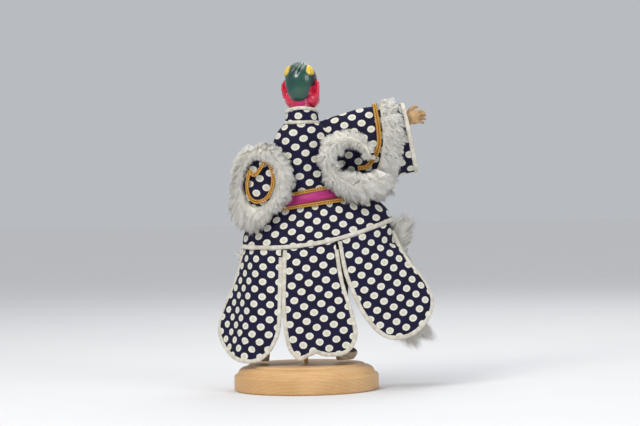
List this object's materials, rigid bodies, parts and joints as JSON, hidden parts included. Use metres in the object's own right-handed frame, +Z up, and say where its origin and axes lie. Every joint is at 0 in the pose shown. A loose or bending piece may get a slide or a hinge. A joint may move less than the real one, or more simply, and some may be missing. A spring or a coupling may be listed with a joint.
{
  "type": "glove puppet on a display stand",
  "caption": "Glove puppet with a lacquered head, dotted robe, fur-trimmed sleeves and hanging flaps, shown on a dowel in a turned wooden base.",
  "frame": {"origin": "centre of the base's underside, on the dowel's axis", "axes": "+Z up along the dowel; the puppet faces +Y; +X is the puppet's right-hand side"},
  "size_m": [0.221, 0.15, 0.3416],
  "materials": {
    "base_wood": "satin varnish over straight grain",
    "navy_dotted_fabric": "plain-woven cotton printed with cream dots",
    "cream_binding": "bias-cut binding, matt",
    "white_fur": "long soft pile",
    "gold_braid": "twisted metallic gimp",
    "pink_satin": "satin weave, soft sheen",
    "plain_cotton": "unbleached plain weave",
    "carved_wood": "bare, hand-carved and rubbed smooth",
    "red_lacquer": "glossy lacquer over carved wood",
    "green_lacquer": "glossy lacquer with fine darker grooves",
    "yellow_lacquer": "glossy lacquer",
    "black_cloth": "matt black cotton",
    "pale_sole": "painted, worn at the edge"
  },
  "bodies": {
    "base": {"base_disc": "base_wood"},
    "rod": {"stand_rod": "base_wood"},
    "torso": {"inner_glove": "plain_cotton", "robe_back": "navy_dotted_fabric", "robe_front": "navy_dotted_fabric", "hem_piping": "cream_binding", "belt": "pink_satin", "belt_braid_top": "gold_braid", "belt_braid_bottom": "gold_braid", "right_armhole": "navy_dotted_fabric", "left_armhole": "navy_dotted_fabric"},
    "collar": {"collar": "navy_dotted_fabric", "collar_top_piping": "cream_binding", "collar_base_piping": "cream_binding"},
    "head": {"head": "red_lacquer", "head_cap": "green_lacquer", "cap_knot_right": "yellow_lacquer", "cap_knot_left": "yellow_lacquer"},
    "flap_left": {"flap_left": "navy_dotted_fabric", "flap_left_binding": "cream_binding"},
    "flap_centre": {"flap_centre": "navy_dotted_fabric", "flap_centre_binding": "cream_binding"},
    "flap_right": {"flap_right": "navy_dotted_fabric", "flap_right_binding": "cream_binding"},
    "apron": {"apron": "navy_dotted_fabric", "apron_binding": "cream_binding"},
    "guard_left": {"guard_left": "navy_dotted_fabric", "guard_left_binding": "cream_binding", "guard_left_fur": "white_fur"},
    "guard_right": {"guard_right": "navy_dotted_fabric", "guard_right_binding": "cream_binding", "guard_right_fur": "white_fur"},
    "right_arm": {"right_sleeve": "navy_dotted_fabric", "right_cuff_piping": "cream_binding", "right_band_fur": "white_fur", "right_braid": "gold_braid", "right_ring_fur": "white_fur", "right_lining": "plain_cotton"},
    "right_wrist": {"right_wrist_tube": "carved_wood"},
    "right_hand": {"right_hand": "carved_wood"},
    "left_arm": {"left_sleeve": "navy_dotted_fabric", "left_cuff_piping": "cream_binding", "left_band_fur": "white_fur", "left_ring_fur": "white_fur", "left_braid": "gold_braid", "left_lining": "plain_cotton"},
    "left_wrist": {"left_wrist_tube": "carved_wood"},
    "left_hand": {"left_hand": "carved_wood"},
    "right_leg": {"right_leg": "black_cloth", "right_boot": "black_cloth", "right_sole": "pale_sole"},
    "left_leg": {"left_leg": "black_cloth", "left_boot": "black_cloth", "left_sole": "pale_sole"}
  },
  "joints": [
    {"name": "rod_turn", "type": "hinge", "parent": "base", "child": "rod", "pos_m": [0, 0, 0.0165], "axis": [0, 0, 1], "continuous": true},
    {"name": "lift_off_rod", "type": "slide", "parent": "rod", "child": "torso", "axis": [0, 0, 1], "range_m": [0, 0.3]},
    {"name": "head_turn", "type": "hinge", "parent": "torso", "child": "collar", "pos_m": [0, 0, 0.2855], "axis": [0, 0, 1], "range_deg": [-45, 60]},
    {"name": "head_nod", "type": "hinge", "parent": "collar", "child": "head", "pos_m": [0, 0, 0.298], "axis": [0.9659, -0.2588, 0], "range_deg": [-12, 12]},
    {"name": "flap_left_swing", "type": "hinge", "parent": "torso", "child": "flap_left", "pos_m": [-0.04503, -0.02547, 0.14517], "axis": [-0.8734, 0.4865, 0.0239], "range_deg": [-2, 55]},
    {"name": "flap_centre_swing", "type": "hinge", "parent": "torso", "child": "flap_centre", "pos_m": [0.00614, -0.0368, 0.14841], "axis": [-0.9897, 0.0392, -0.1378], "range_deg": [-2, 55]},
    {"name": "flap_right_swing", "type": "hinge", "parent": "torso", "child": "flap_right", "pos_m": [0.06468, -0.02834, 0.16154], "axis": [-0.8738, -0.3918, -0.2881], "range_deg": [-2, 55]},
    {"name": "apron_swing", "type": "hinge", "parent": "torso", "child": "apron", "pos_m": [-0.0002, 0.03645, 0.14746], "axis": [0.9902, 0.0768, 0.1168], "range_deg": [-2, 55]},
    {"name": "guard_left_swing", "type": "hinge", "parent": "torso", "child": "guard_left", "pos_m": [-0.05445, 0.01965, 0.14514], "axis": [0.781, 0.6227, -0.0486], "range_deg": [-2, 55]},
    {"name": "guard_right_swing", "type": "hinge", "parent": "torso", "child": "guard_right", "pos_m": [0.07573, 0.02297, 0.16485], "axis": [0.8069, -0.5099, 0.2982], "range_deg": [-2, 55]},
    {"name": "right_arm_raise", "type": "hinge", "parent": "torso", "child": "right_arm", "pos_m": [0.03, 0, 0.262], "axis": [0, -1, 0], "range_deg": [-10, 25]},
    {"name": "right_wrist_drop", "type": "hinge", "parent": "right_arm", "child": "right_wrist", "pos_m": [0.077, 0, 0.268], "axis": [0, 1, 0], "range_deg": [-2, 30]},
    {"name": "right_hand_turn", "type": "hinge", "parent": "right_wrist", "child": "right_hand", "pos_m": [0.077, 0, 0.268], "axis": [0.9487, 0, 0.3162], "range_deg": [-60, 60]},
    {"name": "left_arm_raise", "type": "hinge", "parent": "torso", "child": "left_arm", "pos_m": [-0.027, 0, 0.252], "axis": [0, 1, 0], "range_deg": [-1, 45]},
    {"name": "left_wrist_lift", "type": "hinge", "parent": "left_arm", "child": "left_wrist", "pos_m": [-0.0555, 0.014, 0.228], "axis": [1, 0, 0], "range_deg": [-20, 20]},
    {"name": "left_hand_turn", "type": "hinge", "parent": "left_wrist", "child": "left_hand", "pos_m": [-0.0555, 0.014, 0.228], "axis": [0, 0.9839, -0.1789], "range_deg": [-60, 60]},
    {"name": "right_leg_swing", "type": "hinge", "parent": "torso", "child": "right_leg", "pos_m": [0.038, 0.002, 0.166], "axis": [1, 0, 0], "range_deg": [-6, 35]},
    {"name": "left_leg_swing", "type": "hinge", "parent": "torso", "child": "left_leg", "pos_m": [-0.044, 0.002, 0.166], "axis": [1, 0, 0], "range_deg": [-6, 22]}
  ]
}
